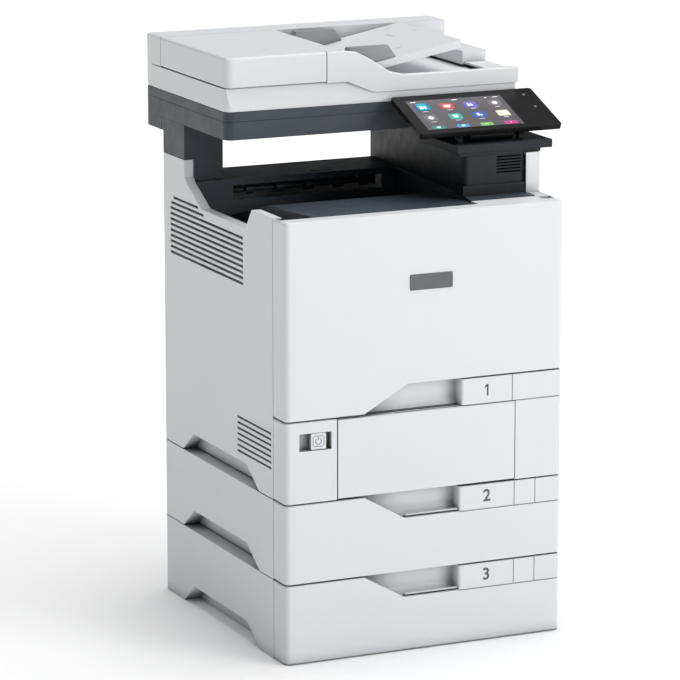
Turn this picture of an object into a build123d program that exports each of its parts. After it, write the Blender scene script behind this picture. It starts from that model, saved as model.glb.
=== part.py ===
from build123d import *
import os
from math import cos, radians, sin

# Floor-standing office copier: two stacked paper units, a print engine with its own drawer,
# an output bin, and a flatbed scanner with a document feeder on top.
# Millimetres, +X to the operator's right, +Y to the back, +Z up.
# The origin is the centre of the footprint, on the floor.

# ---------------------------------------------------------------- overall sizes
body_w = 450.0          # width of the units and the engine
body_d = 462.0          # depth of the units and the engine
unit_h = 120.4          # height of one add-on paper unit
engine_h = 415.2        # engine, from its base to the rim of the front door
scanner_w = 484.0       # scanner, from the left side
scanner_d = 306.0       # scanner depth
scanner_over = 54.0     # scanner overhang behind the body
neck_h = 87.3           # engine rim to the underside of the scanner
base_h = 41.7           # scanner base
feeder_h = 80.0         # document feeder

# ---------------------------------------------------------------- walls and clearances
wall = 3.0              # moulded covers
sheet = 2.0             # metal sheet
seam = 1.2              # visible gap between covers
air = 0.6               # gap between parts that move past each other
fit = 0.3               # seat clearance
shaft_air = 0.08        # radial clearance of a shaft in its bore
wrap = 43.0             # depth by which front pieces wrap round the sides
corner_r = 9.0          # vertical front corners
edge_r = 2.5            # outside edges

# ---------------------------------------------------------------- derived frame
half_w = body_w / 2
front = -body_d / 2
back = body_d / 2
seam_y = front + wrap
side_y = seam_y + seam
engine_z = 2 * unit_h
rim_z = engine_z + engine_h
ledge_z = rim_z + 1.5
scan_z = rim_z + neck_h
feed_z = scan_z + base_h
top_z = feed_z + feeder_h
scan_left = -half_w
scan_right = scan_left + scanner_w
scan_back = back + scanner_over
scan_front = scan_back - scanner_d

# ---------------------------------------------------------------- drawers
foot_h = 1.7            # rubber pads let into the base of the lowest unit
foot_r = 16.0
grip_low = 38.4         # drop of the front under the finger grip
grip_depth = 24.0
label_x = half_w - 169.5          # left end of the numbered label block
grip_x = label_x - 90.0          # right end of the slope beside the grip
slope_x = label_x - 154.5         # left end of the slope
duct_x = 82.3 - half_w         # left edge of the engine drawer
bypass_right = half_w - 78.0    # right edge of the bypass door
bypass_h = 121.6        # height of the bypass door
label_in = 0.8          # label block behind the front face
groove_w = 1.2          # grooves round and across the label block
groove_d = 1.0
nose_r = 4.0            # rounded left end of the label block
cassette_half = 178.0
cassette_h = 80.0
cassette_lift = 11.0    # drawer floor above the unit's base
rail_h = 34.0           # runner above the drawer floor
rail_out = 12.0         # runner flange beyond the drawer wall
foot_l = 14.0           # side guide foot
pull_out = 360.0
paper_half = 109.0      # side guides stand this far from the paper centre
lift_w = 200.0
roller_r = 11.0
shaft_r = 4.0

# ---------------------------------------------------------------- doors and covers
door_drop = 39.4        # the front door reaches this much lower on its left
door_z = engine_z + bypass_h + seam
pin_r = 1.6             # hinge pins of the doors
pin_in = 3.6            # hinge axis of the rear door from its outer faces
hinge_in = 6.0          # hinge axes of the front doors from their outer faces
hinge_r = 2.6           # bearings of the front doors
hinge_edge_r = 4.0      # rounding that clears the seam as a front door swings
notch_z = rim_z - 30.0  # sill of the notch in the left cover
notch_front = -112.0
notch_back = 141.0
flange = 14.5
grip_h = 31.2           # side lifting pockets
grip_in = 25.0
rear_door_half = 125.0
rear_door_z = engine_z + 60.0
rear_door_h = 300.0

# ---------------------------------------------------------------- bin, pillar, panel
bin_front = front + 28.0
bin_left = -half_w + flange + 1.0
bin_floor_z = rim_z - 56.0
gutter_w = 44.0         # lower strip of the bin beside the notch
bin_mid_z = rim_z - 11.0
ledge_y = 130.0
pillar_left = half_w - 122.0
pillar_back_left = half_w - 98.4
pillar_right = half_w - 23.0
pillar_front = front + 86.0
neck_right = 63.0 - half_w
cover_top_z = scan_z - 53.3
panel_left = half_w - 188.0
panel_w = 233.5
panel_l = 112.7
panel_t = 9.0
panel_tilt = 20.9
panel_low_y = pillar_front + 10.0       # lower edge of the panel's face
panel_low_z = scan_z + 8.7
screen_w = 157.5
screen_l = 86.0
panel_pin_y = pillar_front + 31.0
panel_pin_z = scan_z - 0.8
bracket_left = half_w - 136.0
bracket_right = half_w + 21.0
bracket_front = pillar_front - 5.0
bracket_z = scan_z - 21.8
bracket_top = scan_z - 9.8

# ---------------------------------------------------------------- scanner and feeder
bezel_h = 14.6
scanner_corner_r = 13.0
feeder_corner_r = 12.0
feeder_edge_r = 4.0
glass_t = 3.0
recess_h = 34.0         # lower band of the feeder, below the front cover
recess_in = 6.0         # lean of the lower band under the front cover
cover_right = -36.0     # right edge of the feeder's top cover
cover_back = scan_back - 54.0           # rear edge of the top cover
tray_pivot_x = -26.0
tray_pivot_z = feed_z + 38.5
tray_l = 200.0
tray_t = 13.0
tray_tilt = 10.8
feeder_low_z = feed_z + 39.0            # front wall over the output side


def block(x0, x1, y0, y1, z0, z1):
    return Pos((x0 + x1) / 2, (y0 + y1) / 2, (z0 + z1) / 2) * Box(x1 - x0, y1 - y0, z1 - z0)


def prism_x(points, x0, x1):
    """Outline of (y, z) points, drawn out along X."""
    wire = Polyline(*[(x0, y, z) for y, z in points], close=True)
    return extrude(make_face(wire), amount=x1 - x0, dir=(1, 0, 0))


def prism_y(points, y0, y1):
    """Outline of (x, z) points, drawn out along Y."""
    wire = Polyline(*[(x, y0, z) for x, z in points], close=True)
    return extrude(make_face(wire), amount=y1 - y0, dir=(0, 1, 0))


def prism_z(points, z0, z1):
    """Outline of (x, y) points, drawn out along Z."""
    wire = Polyline(*[(x, y, z0) for x, y in points], close=True)
    return extrude(make_face(wire), amount=z1 - z0, dir=(0, 0, 1))


def rod_x(y, z, r, x0, x1):
    return Pos((x0 + x1) / 2, y, z) * Rot(0, 90, 0) * Cylinder(r, x1 - x0)


def rod_y(x, z, r, y0, y1):
    return Pos(x, (y0 + y1) / 2, z) * Rot(90, 0, 0) * Cylinder(r, y1 - y0)


def rod_z(x, y, r, z0, z1):
    return Pos(x, y, (z0 + z1) / 2) * Cylinder(r, z1 - z0)


def save(name, shape):
    shape.label = name
    export_step(shape, f"parts/{name}.step")


def round_front(shape, edges=edge_r):
    """Round the vertical front corners, then the long edges of the front face."""
    corners = [e for e in shape.edges().filter_by(Axis.Z) if e.center().Y < front + 1]
    outer = [e for e in corners if abs(abs(e.center().X) - half_w) < 1]
    if outer:
        shape = fillet(outer, corner_r)
    face = [f for f in shape.faces() if abs(f.center().Y - front) < 0.1]
    rim = [e for f in face for e in f.edges() if abs(e.tangent_at(0.5).Z) < 0.99]
    return fillet(rim, edges)


def round_uprights(shape, y_limit, radius):
    """Rounds the vertical edges that lie in front of y_limit."""
    edges = [e for e in shape.edges().filter_by(Axis.Z) if e.center().Y < y_limit]
    return fillet(edges, radius)


def lifting_pocket(z0, depth, grow=0.0):
    """Trapezoid pocket in both sides, open at the base of a unit."""
    outline = [
        (156.0 + grow, z0 - 1),
        (113.5 + grow, z0 + grip_h + grow),
        (-88.0 - grow, z0 + grip_h + grow),
        (-137.0 - grow, z0 - 1),
    ]
    left = prism_x(outline, -half_w - (0 if grow else 1), -half_w + depth)
    right = prism_x(outline, half_w - depth, half_w + (0 if grow else 1))
    return left + right


# ================================================================ paper units
def unit_housing(z0, lowest):
    """Open-fronted case of one add-on unit, with runners for its drawer."""
    low = z0
    high = z0 + unit_h - seam
    case = block(-half_w, half_w, side_y, back, low, high)
    upright = case.edges().filter_by(Axis.Z).group_by(Axis.Y)[-1]
    case = fillet(upright, corner_r)
    case -= block(-half_w + wall, half_w - wall, side_y - 1, back - wall, low + wall, high - wall)
    liner = lifting_pocket(z0, grip_in + wall, wall)
    case += liner & block(-half_w, half_w, side_y, back, low, high)
    case -= lifting_pocket(z0, grip_in)
    for side in (-1, 1):
        inner = side * (cassette_half + air)
        outer = side * (half_w - wall)
        runner_z = z0 + cassette_lift + rail_h
        case += block(
            min(inner, outer), max(inner, outer), side_y, back - wall, runner_z - 5, runner_z - fit
        )
    inset = grip_in + wall
    case += block(-half_w + inset, half_w - inset, side_y + 12, back - 12, high - 1, z0 + unit_h - fit)
    if lowest:
        for x, y in foot_places():
            case -= rod_z(x, y, foot_r + fit, -1, foot_h + fit)
    return case


def foot_places():
    return [(x, y) for x in (-half_w + 55, half_w - 55) for y in (side_y + 30, back - 45)]


def feet():
    """Four rubber pads flush with the base."""
    return Compound(children=[rod_z(x, y, foot_r, 0, foot_h) for x, y in foot_places()])


def label_marks(x0, low, high, lines):
    """Shallow step, rounded end and dividing grooves of a label block."""
    step = front + label_in
    cuts = block(x0 - 0.5, half_w + 1, front - 1, step, low, high + 1)
    cuts += block(x0 - 0.5, half_w + 1, front - 1, step + groove_d, low - groove_w, low)
    for x in lines:
        cuts += block(x, x + groove_w, front - 1, step + groove_d, low - groove_w, high + 1)
    nose = block(x0 - 0.5, x0 + nose_r, front - 1, step + nose_r, low, high + 1)
    return cuts + (nose - rod_z(x0 + nose_r, step + nose_r, nose_r, low - 1, high + 2))


def unit_front(z0):
    """Drawer front: full height on the left, a finger grip, a label block on the right."""
    low = z0 + air
    high = z0 + unit_h - seam
    sill = high - grip_low + seam
    shell = round_front(block(-half_w, half_w, front, seam_y, low, high))
    shell -= block(-half_w + wall, half_w - wall, front + wall, seam_y + 1, low + wall, sill - wall)
    shell -= block(
        -half_w + wall, slope_x - wall, front + wall, seam_y + 1, sill - wall - 1, high - wall
    )
    shell -= block(
        label_x + wall, half_w - wall, front + wall, seam_y + 1, sill - wall - 1, high - wall
    )
    grip = prism_y(
        [(slope_x, high + 1), (slope_x, high), (grip_x, sill), (label_x, sill), (label_x, high + 1)],
        front - 1,
        front + grip_depth,
    )
    deep = [e for e in grip.edges().filter_by(Axis.X) if e.center().Y > front and e.center().Z < high]
    grip = fillet(deep, grip_depth / 2)
    shell -= grip
    shell -= block(grip_x, label_x, front + 5, front + 5 + groove_w, sill - groove_d, sill + 1)
    shell -= label_marks(label_x, sill, high, (label_x + 90.2, label_x + 124.9))
    for x in (-cassette_half + 60, cassette_half - 60):
        shell += block(x, x + wall, front + wall - 1, seam_y, low + 1, sill - wall + 1)
    return shell


def engine_drawer_front():
    """Front of the engine's drawer, with a bay for the bypass door."""
    low = engine_z + fit
    high = door_z + door_drop - seam
    sill = door_z - seam
    left = duct_x + seam
    shell = round_front(block(left, half_w, front, seam_y, low, high))
    shell -= block(left - 1, bypass_right, front - 1, front + grip_depth + 6, low - 1, sill)
    shell -= block(bypass_right + wall, half_w - wall, front + wall, seam_y + 1, low + wall, sill - 4)
    shell -= block(
        left + wall, bypass_right - 1, front + grip_depth + 9, seam_y + 1, low + wall, sill - wall
    )
    nose_x = label_x + wall
    shell -= block(nose_x + wall, half_w - wall, front + wall, seam_y + 1, sill + wall, high - wall)
    corner = [(left - 1, high + 1), (left - 1, sill + 0.1), (slope_x, sill + 0.1)]
    corner.append((grip_x + 5, high + 0.1))
    corner.append((grip_x + 5, high + 1))
    shell -= prism_y(corner, front - 1, seam_y + 1)
    grip = prism_y(
        [(slope_x, sill), (nose_x, sill), (nose_x, high + 1), (slope_x, high + 1)],
        front - 1,
        front + grip_depth,
    )
    deep = [e for e in grip.edges().filter_by(Axis.X) if e.center().Y > front and e.center().Z < high]
    shell -= fillet(deep, grip_depth / 2)
    shell -= label_marks(nose_x, sill, high, (bypass_right - 6,))
    for x in (-60.0, 90.0):
        shell += block(x, x + wall, front + grip_depth + 7, seam_y, low, sill - 1)
    for x in (left + 2, bypass_right - 2 - 6):
        top = bypass_z + hinge_r
        ear = block(x, x + 6, bypass_y, front + grip_depth + 8, bypass_z - hinge_r, top)
        ear += rod_x(bypass_y, bypass_z, hinge_r, x, x + 6)
        shell += ear - rod_x(bypass_y, bypass_z, pin_r + shaft_air, x - 1, x + 7)
    return shell


def cassette(z0, centre, x0, x1):
    """Paper drawer box with runner flanges and the bearings of its lift plate."""
    low = z0 + cassette_lift
    deep = back - 40
    box = block(x0, x1, seam_y, deep, low, low + cassette_h)
    box -= block(x0 + wall, x1 - wall, seam_y + wall, deep - wall, low + wall, low + cassette_h + 1)
    for a, b in ((x0 - rail_out, x0 + 1), (x1 - 1, x1 + rail_out)):
        box += block(a, b, seam_y + air, deep, low + rail_h, low + rail_h + wall)
    for x in (centre - plate_ear, centre + plate_ear):
        ear = block(x - 2.5, x + 2.5, plate_y - 6, plate_y + 6, low + wall - 1, low + wall + 9)
        box += ear - rod_x(plate_y, low + wall + 4, 3.2 + shaft_air, x - 3, x + 3)
    return box


def lift_plate(z0, centre):
    """Sprung plate that raises the stack to the pick roller; it turns on its back edge."""
    low = z0 + cassette_lift + wall
    half = lift_w / 2
    plate = block(centre - half, centre + half, seam_y + 12, plate_y, low + 3, low + 3 + sheet)
    for side in (-1, 1):
        inner = centre + side * (paper_half - guide_travel - 6)
        outer = centre + side * (half + 1)
        plate -= block(min(inner, outer), max(inner, outer), 24, 126, low, low + 9)
        ear = centre + side * plate_ear
        plate -= block(min(ear - 4, outer), max(ear + 4, outer), plate_y - 9, plate_y + 1, low, low + 9)
    return plate + rod_x(plate_y, low + 4, 3.2, centre - plate_ear - 3, centre + plate_ear + 3)


def side_guide(z0, centre, side):
    """Paper side guide: an upright fence on a foot that slides across the drawer."""
    low = z0 + cassette_lift + wall + fit
    x = centre + side * paper_half
    fence = block(min(x, x + side * 3), max(x, x + side * 3), 30, 120, low, low + 58)
    tip = x + side * foot_l
    foot = block(min(x, tip), max(x, tip), 55, 95, low, low + 2.4)
    rib = block(min(x, tip), max(x, tip), 73, 76, low, low + 40)
    return fence + foot + rib


def pick_roller(z0, centre):
    """Rubber pick roller on its shaft, above the front of the stack."""
    z = z0 + pick_up
    shaft = rod_x(pick_y, z, shaft_r, centre - 120, centre + 120)
    for x in (centre - 34, centre + 14):
        shaft += rod_x(pick_y, z, roller_r, x, x + 20)
    return shaft


def pick_hangers(z0, top, centre):
    """Arms that carry a pick roller's shaft from the deck above it."""
    arms = None
    for x in (centre - 100, centre + 94):
        arm = block(x, x + 6, pick_y - 8, pick_y + 8, z0 + pick_up - 8, top)
        arm -= rod_x(pick_y, z0 + pick_up, shaft_r + shaft_air, x - 1, x + 7)
        arms = arm if arms is None else arms + arm
    return arms


# ---------------------------------------------------------------- places used by several parts
engine_drawer_x0 = duct_x + 1 + sheet + rail_out + air
bypass_y = front + hinge_in
bypass_z = engine_z + seam + hinge_in
door_y = front + hinge_in
door_pin_z = door_z + hinge_in
plate_y = 150.0         # hinge line of the lift plates
plate_ear = 90.0        # bearings of the lift plate from the paper centre
guide_travel = 60.0
pick_y = -150.0
pick_up = 105.0         # pick roller axis above the unit's base
engine_centre = (duct_x + bypass_right) / 2
deck_z = door_z + door_drop + 1.0
exit_y = ledge_y + 28.0
exit_z = ledge_z - 22.0
fan_y = 40.0
fan_z = rim_z - 78.0
fan_r = 38.0
button_x = -172.0
button_z = engine_z + 91.2
carriage_y = scan_front + 150.0
carriage_z = scan_z + 14.0
lid_r = 8.0             # lid hinge axis from its lower and rear faces
lid_y = scan_back - lid_r
lid_z = feed_z + fit + lid_r
lid_ears = (scan_left + 70.0, scan_right - 90.0)
cover_pin = 2.6         # top cover's hinge axis from the left and lower faces
cover_x = scan_left + cover_pin
cover_z = feed_z + recess_h + seam + cover_pin


# ================================================================ engine covers
def door_outline():
    """(x, z) outline of the front door: its lower edge steps up over the drawer."""
    return [
        (-half_w, door_z),
        (slope_x, door_z),
        (slope_x + 70, door_z + door_drop),
        (half_w, door_z + door_drop),
        (half_w, rim_z),
        (-half_w, rim_z),
    ]


def front_door():
    shell = round_front(prism_y(door_outline(), front, seam_y), hinge_edge_r)
    hollow = make_face(Polyline(*[(x, front + wall, z) for x, z in door_outline()], close=True))
    hollow = offset(hollow, amount=-wall, kind=Kind.INTERSECTION)
    shell -= extrude(hollow, amount=wrap, dir=(0, 1, 0))
    shell -= block(-half_w + wall, half_w - wall, bin_front - 2, seam_y + 1, rim_z - 20, rim_z + 1)
    shell -= block(
        -half_w + wall, half_w - wall, front + grip_depth - 1, seam_y + 1, door_z - 1, door_z + 60
    )
    shell += block(jog_x, pillar_right - fit, bin_front - 3, jog_y - seam, rim_z - wall, rim_z)
    shell -= block(badge_x0, badge_x1, front - 1, front + 1.2, badge_z0, badge_z1)
    for x in door_ears:
        skin_y = door_y - hinge_r - air
        top = door_pin_z + hinge_r + air
        shell -= block(x - air, x + ear_w + air, skin_y, front + grip_depth + 1, door_z - 1, top)
        lug_y = door_y + pin_r
        lug_z = door_pin_z + pin_r
        for a in (x - 4, x + ear_w + air):
            shell += block(a, a + 4 - air, front + wall - 1, lug_y, door_z + 1, lug_z)
        shell += rod_x(door_y, door_pin_z, pin_r, x - 4, x + ear_w + 4)
    return shell


ear_w = 5.0
door_ears = (-half_w + 14.0, duct_x - 16.0)


jog_x = 96.0            # the rim of the door is deeper beside the pillar
jog_y = bin_front + 23.0
badge_x0 = -27.0        # blank plate on the door
badge_x1 = 42.0
badge_z0 = door_z + 178.4
badge_z1 = badge_z0 + 23.0


def badge_plate():
    plate = block(badge_x0, badge_x1, front - 0.8, front + 1.2, badge_z0, badge_z1)
    return fillet(plate.edges().filter_by(Axis.Y), 5.0)


def lower_left_cover():
    """Fixed front piece with the power button's recess."""
    right = duct_x - seam / 2
    high = door_z - seam
    shell = round_front(block(-half_w, right, front, seam_y, engine_z + fit, high))
    shell -= block(
        -half_w + wall, right - wall, front + wall, seam_y + 1, engine_z + wall, high - wall
    )
    pocket = block(-205, -150, front + 1, front + 17, button_z - 15, button_z + 15)
    shell += pocket
    shell -= block(-203, -152, front - 1, front + 14, button_z - 13, button_z + 13)
    guide = rod_y(button_x, button_z, 5.0, front + 13, front + 30)
    shell -= guide
    for x in door_ears:
        top = door_pin_z + hinge_r
        ear = block(x, x + ear_w, door_y + 8, door_y + 13, high - 1, top)
        ear += block(x, x + ear_w, door_y, door_y + 9, door_pin_z - hinge_r, top)
        ear += rod_x(door_y, door_pin_z, hinge_r, x, x + ear_w)
        shell += ear - rod_x(door_y, door_pin_z, pin_r + shaft_air, x - 1, x + ear_w + 1)
    return shell


def power_button():
    cap = block(button_x - 12, button_x + 12, front + 1.5, front + 10, button_z - 12, button_z + 12)
    cap = fillet(cap.edges().filter_by(Axis.Y), 1.5)
    stem = rod_y(button_x, button_z, 5.0 - shaft_air * 2, front + 9, front + 28)
    return cap + stem


bypass_ext_half = 50.0


def bypass_door():
    """Fold-down door of the bypass feeder."""
    low = engine_z + seam
    high = door_z - 2 * seam
    left = duct_x + seam
    shell = block(left, bypass_right - seam, front, front + 14, low, high)
    outer = [e for e in shell.edges().filter_by(Axis.X) if e.center().Y < front + 1]
    shell = fillet([e for e in outer if e.center().Z < low + 1], hinge_edge_r)
    outer = [e for e in shell.edges().filter_by(Axis.X) if e.center().Y < front + 1]
    shell = fillet([e for e in outer if e.center().Z > high - 1], edge_r)
    shell -= block(
        left + 14, bypass_right - seam - 14, front + wall, front + 15, low + 14, high - 10
    )
    slot = bypass_ext_half + 1
    shell -= block(
        engine_centre - slot, engine_centre + slot, front + wall, front + 7.6, high - 12, high + 1
    )
    for x in (left + 1.4, bypass_right - 2 - 6 - air):
        reach = hinge_r + air
        shell -= block(x, x + 6 + 2 * air, bypass_y - reach, front + 15, low - 1, bypass_z + reach)
    shell += rod_x(bypass_y, bypass_z, pin_r, left + 0.2, bypass_right - seam - 0.2)
    return shell


def bypass_extension():
    """Paper support that slides out of the bypass door."""
    low = engine_z + seam + 16
    half = bypass_ext_half
    mid = engine_centre
    plate = block(mid - half, mid + half, front + wall + fit, front + 7, low, low + 80)
    plate -= block(mid - 20, mid + 20, front, front + 15, low + 62, low + 81)
    return plate


def left_cover():
    """Left side: a shell with an inward flange and a notch beside the output bin."""
    outline = [
        (side_y, engine_z + fit),
        (back, engine_z + fit),
        (back, cover_top_z),
        (notch_back, cover_top_z),
        (notch_back, rim_z + 8),
        (notch_back - 11, rim_z - 1),
        (notch_back - 66, notch_z),
        (notch_front + 22, notch_z),
        (notch_front, rim_z),
        (side_y, rim_z),
    ]
    shell = prism_x(outline, -half_w, -half_w + flange)
    upright = [e for e in shell.edges().filter_by(Axis.Z) if e.center().Y > back - 1]
    shell = fillet([e for e in upright if e.center().X < -half_w + 1], corner_r)
    face = make_face(Polyline(*[(-half_w + wall, y, z) for y, z in outline], close=True))
    face = offset(face, amount=-wall, kind=Kind.INTERSECTION)
    shell -= extrude(face, amount=flange, dir=(1, 0, 0))
    shell = add_side_pocket(shell, -1)
    for i in range(11):
        z = rim_z - 115 + i * 8.5
        y1 = 198 if z < rim_z - 42 else 198 - (z - rim_z + 42)
        y0 = -80 if z < rim_z - 42 else 60 + (z - rim_z + 42) * 2.4
        shell -= block(-half_w - 1, -half_w + wall + 1, y0, y1, z - 2, z + 2)
    for i in range(7):
        z = engine_z + 45 + i * 8.6
        shell -= block(-half_w - 1, -half_w + wall + 1, -180, -56, z - 1.6, z + 1.6)
    return shell


def add_side_pocket(shell, side):
    """Lifting pocket of one side cover, with its liner."""
    half = block(-half_w - 2, 0, front, back, engine_z + fit, rim_z)
    if side > 0:
        half = block(0, half_w + 2, front, back, engine_z + fit, rim_z)
    shell += lifting_pocket(engine_z, grip_in, wall) & half
    return shell - lifting_pocket(engine_z, grip_in - wall)


def right_cover():
    """Right side, which rises behind the control pillar up to the scanner."""
    outline = [
        (side_y, engine_z + fit),
        (back, engine_z + fit),
        (back, scan_z - fit),
        (scan_front, scan_z - fit),
        (scan_front, bracket_z - 5 - fit),
        (pillar_front - 6, bracket_z - 5 - fit),
        (pillar_front - 6, rim_z),
        (side_y, rim_z),
    ]
    strip = half_w - pillar_right - fit
    shell = prism_x(outline, half_w - strip, half_w)
    upright = [e for e in shell.edges().filter_by(Axis.Z) if e.center().Y > back - 1]
    shell = fillet([e for e in upright if e.center().X > half_w - 1], corner_r)
    face = make_face(Polyline(*[(half_w - strip - 1, y, z) for y, z in outline], close=True))
    face = offset(face, amount=-wall, kind=Kind.INTERSECTION)
    shell -= extrude(face, amount=strip + 1 - wall, dir=(1, 0, 0))
    shell = add_side_pocket(shell, 1)
    for i in range(9):
        z = rim_z - 115 + i * 8.5
        shell -= block(half_w - wall - 1, half_w + 1, -60, 120, z - 2, z + 2)
    return shell


def rear_cover():
    left = -half_w + flange + fit
    right = pillar_right - fit
    shell = block(left, right, back - wall, back, engine_z + fit, ledge_z - wall - fit)
    shell += block(left, right, back - 12, back, engine_z + fit, engine_z + wall)
    gap = air
    shell -= block(
        -rear_door_half - gap,
        rear_door_half + gap,
        back - 20,
        back + 1,
        rear_door_z - gap,
        rear_door_z + rear_door_h + gap,
    )
    for i in range(8):
        z = rim_z - 90 + i * 8
        shell -= block(left + 12, -rear_door_half - 12, back - wall - 1, back + 1, z, z + 3.5)
    shell -= block(inlet_x - 13.3, inlet_x + 13.3, back - 20, back + 1, inlet_z - 9.3, inlet_z + 9.3)
    for x, z, w, h in port_holes():
        shell -= block(x - w / 2, x + w / 2, back - 20, back + 1, z - h / 2, z + h / 2)
    for x in (-rear_door_half + 8, rear_door_half - 14):
        ear = block(x, x + 6, back - 14, back - 1, rear_door_z - 8, rear_door_z + 8)
        ear -= rod_x(rear_pin_y, rear_pin_z, pin_r + shaft_air, x - 1, x + 7)
        shell += ear
    return shell


rear_pin_y = back - pin_in
rear_pin_z = rear_door_z + pin_in
inlet_x = 165.0
inlet_z = engine_z + 30.0


def port_holes():
    """Centre x, centre z, width and height of the data sockets."""
    low = engine_z + 60
    return [(-160.0, low, 16, 14), (-160.0, low + 28, 13, 12), (-184.0, low, 8, 16)]


def rear_door():
    """Jam access door; it folds down on its lower edge."""
    low = rear_door_z
    high = rear_door_z + rear_door_h
    shell = block(-rear_door_half, rear_door_half, back - 12, back, low, high)
    outer = [e for e in shell.edges().filter_by(Axis.X) if e.center().Y > back - 1]
    shell = fillet([e for e in outer if e.center().Z < low + 1], pin_in - 0.4)
    inner = rear_door_half - wall
    shell -= block(-inner, inner, back - 13, back - wall, low + 12, high - wall)
    for x in (-rear_door_half + 8, rear_door_half - 14):
        shell -= block(x - air, x + 6 + air, back - 15, back + 1, low - 1, low + 9)
    shell += rod_x(rear_pin_y, rear_pin_z, pin_r, -rear_door_half + 1, rear_door_half - 1)
    handle = block(-30, 30, back - 4, back + 1, high - 40, high - 18)
    shell += block(-33, 33, back - 11, back - 1, high - 43, high - 15)
    shell -= block(-30, 30, back - 8, back + 1, high - 40, high - 18)
    return shell


# ================================================================ engine inside
def main_frame():
    """Steel frame: base pan, side plates, deck over the drawer, rear cross plate."""
    side_x = half_w - grip_in - 2
    low = engine_z + fit
    pan = block(-side_x, side_x, side_y, back - 16, low, low + sheet)
    for x in (-side_x, side_x - sheet):
        tall = bin_floor_z - 6
        pan += block(x, x + sheet, side_y, back - 16, low, tall)
    pan += block(-side_x, side_x, side_y, back - 16, deck_z, deck_z + sheet)
    duct = duct_x + 1
    pan += block(duct, duct + sheet, side_y, back - 16, low, deck_z)
    runner_z = engine_z + cassette_lift + rail_h
    pan += block(duct, engine_drawer_x0 - air, side_y, back - 40, runner_z - 5, runner_z - fit)
    pan += block(cassette_half + air, side_x, side_y, back - 40, runner_z - 5, runner_z - fit)
    pan += pick_hangers(engine_z, deck_z + 1, engine_centre)
    return pan


def toner_cartridges():
    """Four cartridges side by side, pushed in from the front."""
    tubs = []
    for i in range(4):
        x = -150 + i * 82
        body = block(x - 34, x + 34, side_y + 2, 70, toner_z, toner_z + 58)
        body = fillet(body.edges().filter_by(Axis.Y), 14)
        body += block(x - 10, x + 10, side_y - 12, side_y + 3, toner_z + 18, toner_z + 40)
        tubs.append(body)
    return Compound(children=tubs)


toner_z = bin_floor_z - 70.0


def imaging_unit():
    """Cradle with four photoconductor drums over the transfer belt."""
    low = deck_z + sheet + fit
    cradle = block(-194, 156, side_y + 4, 74, toner_z - 8, toner_z - fit)
    for i in range(4):
        x = -150 + i * 82
        cradle += rod_y(x, toner_z - 22, 15, side_y + 8, 70)
    belt = block(-194, 156, side_y + 10, 68, low, toner_z - 37 - fit)
    belt = fillet(belt.edges().filter_by(Axis.Y), 12)
    return Compound(children=[cradle, belt])


def laser_unit():
    """Closed scanner box of the laser, behind the drums."""
    box = block(-190, 150, 80, 108, deck_z + sheet + fit, toner_z + 30)
    return box


def fuser_unit():
    """Heater housing across the rear, with bearings for its roller."""
    low = deck_z + sheet + fit
    case = block(-150, 150, fuser_y - 26, fuser_y + 26, low, low + 90)
    case -= block(-140, 140, fuser_y - 22, fuser_y + 22, low + 6, low + 84)
    case -= block(-140, 140, fuser_y - 30, fuser_y + 30, fuser_z - 6, fuser_z + 40)
    case -= rod_x(fuser_y, fuser_z, 6 + shaft_air, -151, 151)
    return case


fuser_y = 142.0
fuser_z = deck_z + 40.0
fuser_r = 19.0


def fuser_roller():
    return rod_x(fuser_y, fuser_z, fuser_r, -132, 132) + rod_x(fuser_y, fuser_z, 6, -156, 156)


def exit_roller():
    """Delivery roller that drives sheets into the output bin."""
    shaft = rod_x(exit_y, exit_z, shaft_r, -142, 96)
    for x in (-120, -70, -20, 30, 74):
        shaft += rod_x(exit_y, exit_z, 8, x, x + 14)
    return shaft


def power_supply():
    """Supply box beside the fuser, and the mains inlet in the rear cover."""
    box = block(162, half_w - grip_in - 5, 84, back - 20, deck_z + sheet + fit, deck_z + 120)
    box += block(inlet_x - 13, inlet_x + 13, back - 18, back - 1, inlet_z - 9, inlet_z + 9)
    box -= block(inlet_x - 11, inlet_x + 11, back - 14, back, inlet_z - 7, inlet_z + 7)
    for dx, dz in ((-6, -1), (6, -1), (0, 3)):
        x = inlet_x + dx
        z = inlet_z + dz
        box += block(x - 1, x + 1, back - 15, back - 4, z - 2, z + 2)
    return box


def controller_board():
    """Logic board behind the rear cover, with its data sockets."""
    board = block(-198, -132, back - 15.5, back - 13.9, engine_z + 20, rear_door_z + 200)
    for x, z, w, h in port_holes():
        half_socket = w / 2 - air
        half_high = h / 2 - air
        socket = block(x - half_socket, x + half_socket, back - 14, back - 1, z - half_high, z + half_high)
        socket -= block(x - w / 2 + 2, x + w / 2 - 2, back - 10, back, z - h / 2 + 2, z + h / 2 - 2)
        board += socket
    return board


def cooling_fan():
    """Fan frame behind the louvres, with a spindle on its spider."""
    x0 = -half_w + wall + fit
    x1 = -half_w + flange - 1.5
    frame = block(x0, x1, fan_y - fan_r - 4, fan_y + fan_r + 4, fan_z - fan_r - 4, fan_z + fan_r - 8)
    frame -= rod_x(fan_y, fan_z - 6, fan_r - 4, x0 - 1, x1 + 1)
    frame += block(x0, x0 + 2, fan_y - fan_r + 1, fan_y + fan_r - 1, fan_z - 9, fan_z - 3)
    frame += rod_x(fan_y, fan_z - 6, 2, x0, x1 - 0.5)
    return frame


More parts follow.
